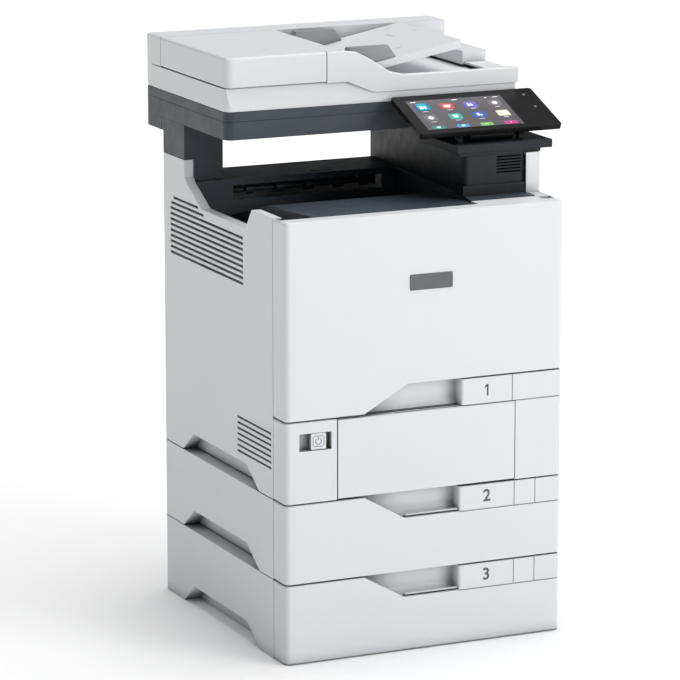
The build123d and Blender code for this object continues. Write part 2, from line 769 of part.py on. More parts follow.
def fan_rotor():
    x0 = -half_w + wall + fit + 2.6
    x1 = -half_w + flange - 2
    rotor = rod_x(fan_y, fan_z - 6, 13, x0, x1)
    for i in range(7):
        blade = block(x0 + 1, x1 - 1, fan_y + 11, fan_y + fan_r - 6, fan_z - 8, fan_z - 5.5)
        spin = Pos(0, fan_y, fan_z - 6) * Rot(i * 360 / 7, 0, 0) * Pos(0, -fan_y, -fan_z + 6)
        rotor += spin * blade
    return rotor - rod_x(fan_y, fan_z - 6, 2 + shaft_air, x0 - 1, x1 + 1)


# ================================================================ output bin and pillar
def lowered(line, drop):
    return [(y, z - drop) for y, z in reversed(line)]


def output_bin():
    """Moulded bin: a sloping floor, a rear ledge over the delivery roller, a right ledge."""
    top = rim_z - 1.0
    right = pillar_back_left + 40
    high = [(bin_front, top), (-34, bin_mid_z), (ledge_y + wall, bin_floor_z)]
    gutter = [(bin_front, top), (notch_front + 10, notch_z - 8), (ledge_y + wall, bin_floor_z)]
    step = bin_left + gutter_w
    shell = prism_x(high + lowered(high, wall), step, right)
    shell += prism_x(gutter + lowered(gutter, wall), bin_left, step + 1)
    shell += prism_x(high + lowered(gutter, wall), step, step + sheet)
    side = [(notch_front, top), (notch_front + 22, notch_z), (notch_back - 66, notch_z)]
    side += [(ledge_y + wall, rim_z - 3)]
    shell += prism_x([(bin_front, top)] + side + lowered(gutter, wall), bin_left, bin_left + sheet)
    shell += block(bin_left, right, ledge_y, ledge_y + wall, bin_floor_z - wall, ledge_z)
    shell += block(bin_left, pillar_right - fit, ledge_y, back, ledge_z - wall, ledge_z)
    shell -= block(-150, 100, ledge_y - 1, ledge_y + wall + 1, exit_z - 10, exit_z + 12)
    wall_line = [
        (pillar_left, pillar_front),
        (pillar_back_left, ledge_y + wall),
        (right, ledge_y + wall),
        (right, pillar_front),
    ]
    inner = prism_z([(x + wall, y) for x, y in wall_line], bin_floor_z - 10, ledge_z - wall)
    shell += prism_z(wall_line, bin_floor_z, ledge_z) - inner
    shell -= block(jog_x - 1, right + 1, bin_front - 1, jog_y, bin_floor_z, rim_z + 1)
    ledge = [
        (jog_x - 1, jog_y),
        (pillar_right - fit, jog_y),
        (pillar_right - fit, back),
        (pillar_back_left, back),
        (pillar_left, pillar_front),
    ]
    shell += prism_z(ledge, ledge_z - wall, ledge_z)
    for x0, x1, y0, y1 in ((-31, 49, 222, 227), (-14, 21, 145, 150)):
        shell -= block(x0, x1, y0, y1, ledge_z - wall - 1, ledge_z + 1)
    for x in (-148, 92):
        ear = block(x, x + 5, exit_y - 7, exit_y + 7, exit_z - 7, ledge_z - 1)
        shell += ear - rod_x(exit_y, exit_z, shaft_r + shaft_air, x - 1, x + 6)
    return shell


def left_neck():
    """Column that carries the left rear of the scanner."""
    inner = -half_w + flange + fit
    column = block(inner, neck_right, notch_back, back - 0.6, ledge_z, scan_z)
    column += block(-half_w, neck_right, notch_back, back, cover_top_z + seam, scan_z)
    outer = [e for e in column.edges().filter_by(Axis.Z) if e.center().Y > back - 0.1]
    column = fillet([e for e in outer if e.center().X < -half_w + 1], corner_r)
    right = neck_right - wall
    column -= block(inner + wall, right, notch_back + wall, back - wall, ledge_z - 1, scan_z - wall)
    return column


def control_pillar():
    """Hollow pillar at the right that carries the scanner and the control panel."""
    plan = [
        (pillar_left, pillar_front),
        (pillar_right - fit, pillar_front),
        (pillar_right - fit, back),
        (pillar_back_left, back),
    ]
    skin = prism_z(plan, ledge_z, scan_z)
    upright = [e for e in skin.edges().filter_by(Axis.Z) if e.center().Y < pillar_front + 1]
    skin = fillet([e for e in upright if e.center().X < pillar_left + 1], 6.0)
    plinth = [(pillar_left - 4, pillar_front - 4), (pillar_right - fit, pillar_front - 4)]
    plinth += [(pillar_right - fit, pillar_front + 30), (pillar_left - 1, pillar_front + 30)]
    skin += prism_z(plinth, ledge_z, ledge_z + 15)
    skin -= block(0, pillar_right + 1, pillar_front - 1, scan_front, bracket_z - 5, scan_z + 1)
    face = make_face(Polyline(*[(x, y, ledge_z - 1) for x, y in plan], close=True))
    face = offset(face, amount=-wall, kind=Kind.INTERSECTION)
    inside = extrude(face, amount=scan_z - ledge_z - wall, dir=(0, 0, 1))
    roof_z = bracket_z - 5 - wall
    skin -= inside - block(0, pillar_right + 1, pillar_front - 1, scan_front + wall, roof_z, scan_z + 1)
    for i in range(6):
        z = ledge_z + 30.5 + i * 4.6
        skin -= block(156, pillar_right - 6, pillar_front - 1, pillar_front + wall + 1, z, z + 2)
    return skin


def panel_bracket():
    """Shelf on the pillar with the ears of the panel's hinge."""
    shelf = block(bracket_left, bracket_right, bracket_front, scan_front - fit, bracket_z, bracket_top)
    step_right = bracket_right - 18
    step_back = pillar_front + 26
    shelf += block(bracket_left + 5, step_right, bracket_front + 3, step_back, bracket_z - 5, bracket_z + 1)
    for x in panel_ears:
        ear = block(x, x + 8, panel_pin_y - 5, panel_pin_y + 5, bracket_top - 1, panel_pin_z)
        ear += rod_x(panel_pin_y, panel_pin_z, 6.0, x, x + 8)
        shelf += ear - rod_x(panel_pin_y, panel_pin_z, 3 + shaft_air, x - 1, x + 9)
    return shelf


panel_ears = (bracket_left + 16, bracket_right - 40)


def panel_place():
    """Frame of the panel's face: origin at its lower left corner, X right, Y up the face."""
    return Pos(panel_left, panel_low_y, panel_low_z) * Rot(panel_tilt, 0, 0)


def panel_housing():
    """Panel case with a well for the display and the barrel of its hinge."""
    body = Pos(panel_w / 2, panel_l / 2, -panel_t / 2) * Box(panel_w, panel_l, panel_t)
    body = fillet(body.edges().filter_by(Axis.Z), 4.0)
    body = fillet(body.faces().sort_by(Axis.Z)[0].edges(), 2.0)
    well = Pos(17.5 + screen_w / 2, panel_l - 15 - screen_l / 2, 0) * Box(screen_w, screen_l, 4.0)
    body = panel_place() * (body - well)
    under_z = panel_low_z + (panel_pin_y - panel_low_y) * sin(radians(panel_tilt)) - panel_t + 4
    for x in (panel_ears[0] + 9, panel_ears[1] - 9):
        body += block(x, x + 8, panel_pin_y - 4, panel_pin_y + 4, panel_pin_z, under_z)
        body += rod_x(panel_pin_y, panel_pin_z, 4.0, x, x + 8)
    return body + rod_x(panel_pin_y, panel_pin_z, 3.0, panel_ears[0] - 2, panel_ears[1] + 10)


def display_screen():
    glass = Pos(17.5 + screen_w / 2, panel_l - 15 - screen_l / 2, -1.0)
    return panel_place() * (glass * Box(screen_w - 0.2, screen_l - 0.2, 2.0))


# ================================================================ scanner
def scanner_base():
    """Lower tub of the flatbed, with the hanging rear part."""
    high = feed_z - bezel_h - fit
    tub = block(scan_left, scan_right, scan_front, scan_back, scan_z, high)
    tub += block(scan_left, scan_right, back + fit, scan_back, scan_z - 19.8, scan_z + 1)
    tub = round_uprights(tub, scan_front + 1, scanner_corner_r)
    tub -= scanner_hollow(scan_z + wall, high + 1)
    for x in (scan_left + wall - 1, scan_right - wall - 7):
        post = block(x, x + 8, carriage_y - 8, carriage_y + 8, scan_z + 1, carriage_z + 8)
        tub += post - rod_x(carriage_y, carriage_z, shaft_r, x - 1, x + 9)
    return tub


def scanner_hollow(low, high):
    inner = block(scan_left + wall, scan_right - wall, scan_front + wall, scan_back - wall, low, high)
    return round_uprights(inner, scan_front + wall + 1, scanner_corner_r - wall)


def scanner_bezel():
    """Top frame of the flatbed round its glass."""
    low = feed_z - bezel_h
    high = feed_z - fit
    frame = block(scan_left, scan_right, scan_front, scan_back, low, high)
    frame = round_uprights(frame, scan_front + 1, scanner_corner_r)
    frame -= scanner_hollow(low - 1, high - 5)
    frame -= block(*bed_x, *bed_y, low, high + 1)
    frame -= block(*slit_x, *bed_y, low, high + 1)
    shelf = block(bed_x[0] - 4, bed_x[1] + 4, bed_y[0] - 4, bed_y[1] + 4, high - 7, high - 5)
    shelf += block(slit_x[0] - 4, slit_x[1] + 4, bed_y[0] - 4, bed_y[1] + 4, high - 7, high - 5)
    shelf -= block(bed_x[0] + 4, bed_x[1] - 4, bed_y[0] + 4, bed_y[1] - 4, low, high)
    shelf -= block(slit_x[0] + 4, slit_x[1] - 4, bed_y[0] + 4, bed_y[1] - 4, low, high)
    for x in lid_ears:
        ear = block(x, x + 8, lid_y - 4.5, lid_y + 2, high - 2, lid_z)
        ear += rod_x(lid_y, lid_z, 4.5, x, x + 8)
        shelf += ear - rod_x(lid_y, lid_z, 2.5 + shaft_air, x - 1, x + 9)
    return frame + shelf


bed_x = (scan_left + 90, scan_right - 36)
bed_y = (scan_front + 40, scan_front + 266)
slit_x = (scan_left + 52, scan_left + 74)


def platen_glass():
    """Flatbed glass and the narrow glass strip under the feeder."""
    high = feed_z - fit - 1.6
    panes = []
    for x0, x1 in (bed_x, slit_x):
        pane = block(x0 + fit, x1 - fit, bed_y[0] + fit, bed_y[1] - fit, high - glass_t, high)
        panes.append(pane)
    return Compound(children=panes)


def carriage_rail():
    return rod_x(carriage_y, carriage_z, shaft_r, scan_left + wall, scan_right - wall)


def scan_carriage():
    """Lamp and sensor bar that runs under the glass."""
    x0 = scan_left + 54
    bar = block(x0, x0 + 18, scan_front + 24, scan_back - 24, scan_z + wall + 3, feed_z - fit - 10)
    bar += block(x0 - 6, x0 + 24, carriage_y - 12, carriage_y + 12, carriage_z - 9, carriage_z + 9)
    bar -= rod_x(carriage_y, carriage_z, shaft_r + shaft_air, x0 - 10, x0 + 40)
    return bar


# ================================================================ document feeder
def feeder_base():
    """Feeder body: lower band, front wall with its sweep, rear wall, output floor."""
    low = feed_z + fit
    split = feed_z + recess_h
    floor = block(scan_left, scan_right - 4, scan_front, scan_back, low, split)
    floor = round_uprights(floor, scan_front + 1, feeder_corner_r)
    hem = [e for e in floor.edges().filter_by(Axis.X) if e.center().Y > scan_back - 0.1]
    floor = fillet([e for e in hem if e.center().Z < low + 0.1], lid_r - 0.1)
    floor -= block(
        scan_left + wall, scan_right - 4 - wall, scan_front + 9, scan_back - wall, low - 1, split - wall
    )
    floor -= block(cover_right, scan_right - 40, scan_front + 8, back - wall, feed_z + 26, split + 1)
    floor += block(cover_right, scan_right - 40, scan_front + 8, back - wall, feed_z + 22, feed_z + 26)
    lean = [(scan_front - 1, low + 4), (scan_front, low + 4), (scan_front + recess_in, split + 1)]
    floor -= prism_x([*lean, (scan_front - 1, split + 1)], scan_left - 1, scan_right)
    floor += front_wall()
    rear = cover_back + seam
    right = scan_right - 4
    rear_wall = block(scan_left, right, rear, scan_back, split - 1, top_z)
    upper = [e for e in rear_wall.edges().filter_by(Axis.Y) if e.center().Z > top_z - 1]
    floor += fillet(upper, edge_r)
    cavity_back = scan_back - wall
    floor -= block(scan_left + wall, right - wall, rear + wall, cavity_back, split - 5, top_z - wall)
    floor -= block(scan_left - 1, scan_left + groove_d, rear - 1, scan_back - 20, split, split + seam)
    floor += block(right - 40, right, scan_front + 110, rear + 1, split - 4, feeder_low_z + 12)
    floor += block(cover_right - 20, cover_right - 17, scan_front + 20, back - 10, split - 4, split + 6)
    for y in (scan_front + 22, cover_back - 6):
        ear = block(tray_pivot_x - 7, tray_pivot_x + 7, y - 3, y + 3, split - 10, tray_pivot_z + 5)
        ear -= rod_y(tray_pivot_x, tray_pivot_z, 3 + shaft_air, y - 4, y + 4)
        floor += ear
    for x in lid_ears:
        floor -= block(x - 1, x + 9, lid_y - 6, scan_back + 1, low - 1, lid_z)
        for a in (x - 8, x + 9):
            floor += block(a, a + 7, lid_y - 5, scan_back - 2, low + 4, low + 14)
        floor += rod_x(lid_y, lid_z, 2.5, x - 8, x + 16)
    return floor


def front_wall():
    """White front wall of the feeder, sweeping down from the cover to the output side."""
    x0 = front_cut
    outline = [
        (x0, feed_z + recess_h),
        (-30, feed_z + recess_h),
        (14, feed_z + 15.5),
        (scan_right - 4, feed_z + 15.5),
        (scan_right - 4, feeder_low_z),
        (64.7, feeder_low_z),
        (40.5, feeder_low_z + 6),
        (6.7, feeder_low_z + 27.5),
        (-14, feeder_low_z + 38),
        (-34, top_z),
        (x0, top_z),
    ]
    wall_plate = prism_y(outline, scan_front, scan_front + 8)
    upper = [e for e in wall_plate.edges() if e.center().Y < scan_front + 0.1]
    upper = [e for e in upper if e.center().Z > feeder_low_z - 0.1 and e.center().X > x0 + 1]
    return fillet(upper, edge_r)


front_cut = -63.0 + seam / 2


def feeder_top_cover():
    """Hinged cover over the feed path; it opens to the left."""
    low = feed_z + recess_h + seam
    shell = block(scan_left, cover_right, scan_front + 8 + air, cover_back, low, top_z)
    shell += block(scan_left, front_cut - seam, scan_front, scan_front + 10, low, top_z)
    upright = [e for e in shell.edges().filter_by(Axis.Z) if e.center().Y < scan_front + 1]
    shell = fillet([e for e in upright if e.center().X < scan_left + 1], feeder_corner_r)
    rim = [e for e in shell.edges() if e.center().Z > top_z - 0.1]
    corner_x = scan_left + feeder_corner_r
    rim = [e for e in rim if e.center().X < corner_x or e.center().Y < scan_front + 0.1]
    shell = fillet([e for e in rim if e.center().Y < cover_back - 1], feeder_edge_r)
    rim = [e for e in shell.edges().filter_by(Axis.Y) if e.center().X < scan_left + 0.1]
    shell = fillet([e for e in rim if e.center().Z < low + 0.1], cover_pin)
    left = scan_left + wall
    inner_y = scan_front + 8 + air + wall
    high = top_z - wall
    shell -= block(left, cover_right - wall, inner_y, cover_back - wall, low - 1, high)
    nose = block(left, front_cut - seam - wall, scan_front + wall, inner_y + 3, low - 1, high)
    corner = [e for e in nose.edges().filter_by(Axis.Z) if e.center().Y < scan_front + wall + 1]
    corner = [e for e in corner if e.center().X < left + 1]
    shell -= fillet(corner, feeder_corner_r - wall)
    right = cover_right + 1
    mouth = block(right - wall - 2, right, scan_front + 30, back - 30, low - 1, tray_pivot_z + 12)
    return shell - mouth


def feeder_input_tray():
    """Sloping document tray with a lip of slots for its guides."""
    tilt = radians(tray_tilt)
    width0 = scan_front + 28
    width1 = cover_back - 12
    x0, z0 = tray_pivot_x, tray_pivot_z
    run = [
        (x0 - 2, z0 + 6 - 2 * sin(tilt)),
        (x0 + tray_l * cos(tilt), z0 + 6 + tray_l * sin(tilt)),
        (x0 + tray_l * cos(tilt) + 3, z0 + 6 - tray_t + tray_l * sin(tilt)),
        (x0 + 12, z0 - 2),
    ]
    slab = prism_y(run, width0, width1)
    slab += rod_y(x0, z0, 3.0, scan_front + 17, cover_back - 1)
    root = [(x0 - 4, z0 - 3), (x0 + 16, z0 - 3), (x0 + 14, z0 + 8), (x0 - 2, z0 + 5)]
    slab += prism_y(root, width0, width1)
    slot = guide_slot()
    return slab - slot


def guide_place(u, v):
    """(x, z) of a point u along the input tray and v above its face."""
    tilt = radians(tray_tilt)
    x = tray_pivot_x + u * cos(tilt) - v * sin(tilt)
    return (x, tray_pivot_z + 6 + u * sin(tilt) + v * cos(tilt))


def guide_slot():
    corners = [guide_place(42, 1), guide_place(54, 1), guide_place(54, -5), guide_place(42, -5)]
    return prism_y(corners, scan_front + 60, back - 60)


def feeder_guide(side):
    """Side guide of the document tray."""
    y0 = scan_front + 31 if side < 0 else cover_back - 28
    top = top_z - 1
    outline = [guide_place(2, fit), guide_place(92, fit)]
    outline += [(guide_place(80, 0)[0], top), (guide_place(14, 0)[0], top)]
    return prism_y(outline, y0, y0 + 14)


def feeder_pick_roller():
    """Pick roller under the top cover."""
    shaft = rod_y(cover_right - 34, split_roller_z, 3.0, scan_front + 60, back - 50)
    return shaft + rod_y(cover_right - 34, split_roller_z, 9.0, 70, 110)


split_roller_z = feed_z + recess_h + 16


def pick_cradle():
    """Bearing arms of the feeder's pick roller."""
    arms = None
    for y in (scan_front + 70, back - 66):
        low = feed_z + recess_h - 1
        arm = block(cover_right - 40, cover_right - 28, y, y + 5, low, split_roller_z + 5)
        arm -= rod_y(cover_right - 34, split_roller_z, 3 + shaft_air, y - 1, y + 6)
        arms = arm if arms is None else arms + arm
    return arms


def platen_pad():
    """White backing plate that presses originals on the glass."""
    return block(bed_x[0] + 2, bed_x[1] - 2, bed_y[0] + 2, bed_y[1] - 2, feed_z - 1.2, feed_z + 2)


def build():
    os.makedirs("parts", exist_ok=True)
    save("rubber_feet", feet())
    for number, z0 in ((3, 0.0), (2, unit_h)):
        lowest = number == 3
        housing = unit_housing(z0, lowest) + pick_hangers(z0, z0 + unit_h - seam - 1, 0.0)
        save(f"tray{number}_housing", housing)
        save(f"tray{number}_front", unit_front(z0))
        save_drawer(number, z0, 0.0, -cassette_half, cassette_half)
    save("tray1_front", engine_drawer_front())
    save_drawer(1, engine_z, engine_centre, engine_drawer_x0, cassette_half)
    save("main_frame", main_frame())
    save("left_cover", left_cover())
    save("right_cover", right_cover())
    save("rear_cover", rear_cover())
    save("lower_left_cover", lower_left_cover())
    save("front_door", front_door())
    save("badge_plate", badge_plate())
    save("bypass_door", bypass_door())
    save("bypass_extension", bypass_extension())
    save("power_button", power_button())
    save("rear_door", rear_door())
    save("output_bin", output_bin())
    save("left_neck", left_neck())
    save("control_pillar", control_pillar())
    save("panel_bracket", panel_bracket())
    save("panel_housing", panel_housing())
    save("display_screen", display_screen())
    save("scanner_base", scanner_base())
    save("scanner_bezel", scanner_bezel())
    save("platen_glass", platen_glass())
    save("carriage_rail", carriage_rail())
    save("scan_carriage", scan_carriage())
    save("feeder_base", feeder_base() + pick_cradle())
    save("platen_pad", platen_pad())
    save("feeder_top_cover", feeder_top_cover())
    save("feeder_input_tray", feeder_input_tray())
    save("feeder_front_guide", feeder_guide(-1))
    save("feeder_rear_guide", feeder_guide(1))
    save("feeder_pick_roller", feeder_pick_roller())
    save("toner_cartridges", toner_cartridges())
    save("imaging_unit", imaging_unit())
    save("laser_unit", laser_unit())
    save("fuser_unit", fuser_unit())
    save("fuser_roller", fuser_roller())
    save("exit_roller", exit_roller())
    save("power_supply", power_supply())
    save("controller_board", controller_board())
    save("cooling_fan", cooling_fan())
    save("fan_rotor", fan_rotor())


def save_drawer(number, z0, centre, x0, x1):
    """The paper drawer of one unit and what rides in it, plus its pick roller."""
    save(f"tray{number}_cassette", cassette(z0, centre, x0, x1))
    save(f"tray{number}_lift_plate", lift_plate(z0, centre))
    save(f"tray{number}_left_guide", side_guide(z0, centre, -1))
    save(f"tray{number}_right_guide", side_guide(z0, centre, 1))
    save(f"tray{number}_pick_roller", pick_roller(z0, centre))


build()
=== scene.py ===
import bpy
from math import atan2, cos, pi, radians, sin
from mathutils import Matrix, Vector


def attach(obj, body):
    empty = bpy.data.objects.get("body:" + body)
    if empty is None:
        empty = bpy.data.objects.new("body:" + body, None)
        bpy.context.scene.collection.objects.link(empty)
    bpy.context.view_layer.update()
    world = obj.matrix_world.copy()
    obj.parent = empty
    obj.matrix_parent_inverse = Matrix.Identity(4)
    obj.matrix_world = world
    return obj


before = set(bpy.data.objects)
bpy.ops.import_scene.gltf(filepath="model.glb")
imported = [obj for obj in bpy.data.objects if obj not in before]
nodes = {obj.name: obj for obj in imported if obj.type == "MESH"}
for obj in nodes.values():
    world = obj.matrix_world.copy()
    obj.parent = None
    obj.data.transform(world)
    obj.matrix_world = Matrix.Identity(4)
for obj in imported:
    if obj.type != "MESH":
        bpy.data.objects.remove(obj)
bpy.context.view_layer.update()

print("frame loaded:", len(nodes), "nodes")

mm = 0.001


# ---------- camera, floor and light

cameraSetup = {
    "place": (-2.44702, -5.24078, 1.68478), "pitch": 12.33, "yaw": -24.74,
    "lens": 207.5, "sensor": 36.0, "farClip": 100.0,
}


def placeCamera(setup):
    bpy.ops.object.camera_add(location=setup["place"])
    camera = bpy.context.object
    camera.rotation_euler = (radians(90 - setup["pitch"]), 0, radians(setup["yaw"]))
    camera.data.lens = setup["lens"]
    camera.data.sensor_width = setup["sensor"]
    camera.data.clip_end = setup["farClip"]
    bpy.context.scene.camera = camera


studio = {
    "floorSize": 40.0, "floorDrop": 0.0005, "floorColour": (0.93, 0.93, 0.935), "world": 0.175,
    "nearGlow": 0.3, "farGlow": 0.82,        # more glow far away hides the floor's edge
    # the painted contact shadow's reach, over which the floor's glow dims near the base
    "nearReach": 0.6, "farReach": 3.0, "paintedContactShadow": 0.25,
}
glowSockets = {
    "From Min": "nearReach", "From Max": "farReach", "To Min": "nearGlow", "To Max": "farGlow",
}
lamps = [
    {"name": "keyLight", "place": (3.0, -4.3, 2.6), "aim": (0, 0, 0.45), "size": 2.6, "power": 109},
    {"name": "fillLight", "place": (-4.2, -1.6, 2.2), "aim": (0, 0, 0.5), "size": 2.6, "power": 1},
    {"name": "lowLight", "place": (1.8, -3.8, 0.5), "aim": (0, 0, 0.15), "size": 1.6, "power": 9},
    {"name": "topLight", "place": (0.5, 0.2, 4.2), "aim": (0, 0, 0.5), "size": 3.2, "power": 110},
]


def buildStage():
    bpy.ops.mesh.primitive_plane_add(size=studio["floorSize"], location=(0, 0, -studio["floorDrop"]))
    floor = bpy.context.object
    floor.name = "studioFloor"
    paint = bpy.data.materials.new("studioFloorPaint")
    paint.use_nodes = True
    shader = paint.node_tree.nodes["Principled BSDF"]
    shader.inputs["Base Color"].default_value = (*studio["floorColour"], 1)
    shader.inputs["Roughness"].default_value = 0.9
    shader.inputs["Emission Color"].default_value = (1, 1, 1, 1)
    tree = paint.node_tree
    place = tree.nodes.new("ShaderNodeTexCoord")
    length = tree.nodes.new("ShaderNodeVectorMath")
    length.operation = "LENGTH"
    glow = tree.nodes.new("ShaderNodeMapRange")
    glow.interpolation_type = "SMOOTHSTEP"
    for name, key in glowSockets.items():
        glow.inputs[name].default_value = studio[key]
    tree.links.new(place.outputs["Object"], length.inputs[0])
    tree.links.new(length.outputs["Value"], glow.inputs["Value"])
    paintedContactShadow = tree.nodes.new("ShaderNodeAmbientOcclusion")        # painted contact shadow: less glow close to the base
    paintedContactShadow.inputs["Distance"].default_value = studio["paintedContactShadow"]
    dimmed = tree.nodes.new("ShaderNodeMath")
    dimmed.operation = "MULTIPLY"
    tree.links.new(glow.outputs["Result"], dimmed.inputs[0])
    tree.links.new(paintedContactShadow.outputs["AO"], dimmed.inputs[1])
    tree.links.new(dimmed.outputs["Value"], shader.inputs["Emission Strength"])
    floor.data.materials.append(paint)
    world = bpy.data.worlds.new("studioWorld")
    world.use_nodes = True
    world.node_tree.nodes["Background"].inputs["Color"].default_value = (1, 1, 1, 1)
    world.node_tree.nodes["Background"].inputs["Strength"].default_value = studio["world"]
    bpy.context.scene.world = world
    for lamp in lamps:
        bpy.ops.object.light_add(type="AREA", location=lamp["place"])
        light = bpy.context.object
        light.name = lamp["name"]
        light.data.size = lamp["size"]
        light.data.energy = lamp["power"]
        aim = Vector(lamp["aim"]) - light.location
        light.rotation_euler = aim.to_track_quat("-Z", "Y").to_euler()


placeCamera(cameraSetup)
buildStage()
bpy.context.scene.view_settings.view_transform = "Standard"
print("camera, floor and light placed")


# ---------- finishes

def newMaterial(name):
    material = bpy.data.materials.new(name)
    material.use_nodes = True
    tree = material.node_tree
    return material, tree, tree.nodes["Principled BSDF"]


def coordinates(tree, scale=(1, 1, 1)):
    place = tree.nodes.new("ShaderNodeTexCoord")
    mapping = tree.nodes.new("ShaderNodeMapping")
    mapping.inputs["Scale"].default_value = scale
    tree.links.new(place.outputs["Object"], mapping.inputs["Vector"])
    return mapping.outputs["Vector"]


def noise(tree, vector, scale, detail=3.0, rough=0.5):
    texture = tree.nodes.new("ShaderNodeTexNoise")
    texture.inputs["Scale"].default_value = scale
    texture.inputs["Detail"].default_value = detail
    texture.inputs["Roughness"].default_value = rough
    tree.links.new(vector, texture.inputs["Vector"])
    return texture.outputs["Fac"]


def ramp(tree, factor, low, high, start=0.35, end=0.65):
    node = tree.nodes.new("ShaderNodeValToRGB")
    node.color_ramp.elements[0].position = start
    node.color_ramp.elements[0].color = (*low, 1)
    node.color_ramp.elements[1].position = end
    node.color_ramp.elements[1].color = (*high, 1)
    tree.links.new(factor, node.inputs["Fac"])
    return node.outputs["Color"]


def spread(tree, factor, low, high):
    node = tree.nodes.new("ShaderNodeMapRange")
    node.inputs["From Min"].default_value = 0.3
    node.inputs["From Max"].default_value = 0.7
    node.inputs["To Min"].default_value = low
    node.inputs["To Max"].default_value = high
    tree.links.new(factor, node.inputs["Value"])
    return node.outputs["Result"]


def bump(tree, shader, height, strength, distance, soft=0.0012):
    node = tree.nodes.new("ShaderNodeBump")
    edge = tree.nodes.new("ShaderNodeBevel")        # softens the light along sharp edges
    edge.samples = 4
    edge.inputs["Radius"].default_value = soft
    tree.links.new(edge.outputs["Normal"], node.inputs["Normal"])
    node.inputs["Strength"].default_value = strength
    node.inputs["Distance"].default_value = distance
    tree.links.new(height, node.inputs["Height"])
    tree.links.new(node.outputs["Normal"], shader.inputs["Normal"])


# painted shade in crevices: how far the occlusion reaches and how dark the deepest crevice is painted
paintedCreviceShadeSpec = {"reach": 0.028, "deepest": 0.14, "open": 0.8}


def dimmedInCrevices(tree, colour):
    # painted shade: ambient occlusion darkens the base colour in seams and pockets
    near = tree.nodes.new("ShaderNodeAmbientOcclusion")
    near.samples = 6
    near.inputs["Distance"].default_value = paintedCreviceShadeSpec["reach"]
    light = tree.nodes.new("ShaderNodeMapRange")
    light.inputs["From Max"].default_value = paintedCreviceShadeSpec["open"]
    light.inputs["To Min"].default_value = paintedCreviceShadeSpec["deepest"]
    tree.links.new(near.outputs["AO"], light.inputs["Value"])
    scaled = tree.nodes.new("ShaderNodeVectorMath")
    scaled.operation = "SCALE"
    tree.links.new(colour, scaled.inputs[0])
    tree.links.new(light.outputs["Result"], scaled.inputs["Scale"])
    return scaled.outputs["Vector"]


def mouldedPlastic(name, colour, shade=0.04, rough=(0.42, 0.5), grain=2600.0, depth=0.00004, sheen=0.5):
    material, tree, shader = newMaterial(name)
    vector = coordinates(tree)
    cloud = noise(tree, vector, 9.0, 2.0)
    fine = noise(tree, vector, grain, 2.0, 0.6)
    dim = tuple(c * (1 - shade) for c in colour)
    # the base colour carries painted shade in seams and pockets
    tree.links.new(dimmedInCrevices(tree, ramp(tree, cloud, dim, colour)), shader.inputs["Base Color"])
    tree.links.new(spread(tree, noise(tree, vector, 60.0), *rough), shader.inputs["Roughness"])
    shader.inputs["Specular IOR Level"].default_value = sheen
    bump(tree, shader, fine, 0.35, depth)
    return material


def brushedSteel(name, colour, rough=(0.28, 0.42)):
    material, tree, shader = newMaterial(name)
    along = noise(tree, coordinates(tree, (2, 90, 90)), 24.0, 4.0)
    dim = tuple(c * 0.86 for c in colour)
    tree.links.new(ramp(tree, along, dim, colour), shader.inputs["Base Color"])
    tree.links.new(spread(tree, along, *rough), shader.inputs["Roughness"])
    shader.inputs["Metallic"].default_value = 1.0
    bump(tree, shader, along, 0.2, 0.00003)
    return material


def clearGlass(name, colour):
    material, tree, shader = newMaterial(name)
    smear = noise(tree, coordinates(tree), 7.0, 2.0)
    dim = tuple(c * 0.96 for c in colour)
    tree.links.new(ramp(tree, smear, dim, colour), shader.inputs["Base Color"])
    tree.links.new(spread(tree, smear, 0.02, 0.06), shader.inputs["Roughness"])
    shader.inputs["Transmission Weight"].default_value = 0.85
    shader.inputs["IOR"].default_value = 1.5
    return material


def litPlastic(name, colour, strength):
    material, tree, shader = newMaterial(name)
    cloud = noise(tree, coordinates(tree), 55.0, 2.0)
    tint = ramp(tree, cloud, tuple(c * 0.88 for c in colour), colour)
    tree.links.new(tint, shader.inputs["Base Color"])
    tree.links.new(tint, shader.inputs["Emission Color"])
    shader.inputs["Emission Strength"].default_value = strength
    shader.inputs["Roughness"].default_value = 0.3
    return material


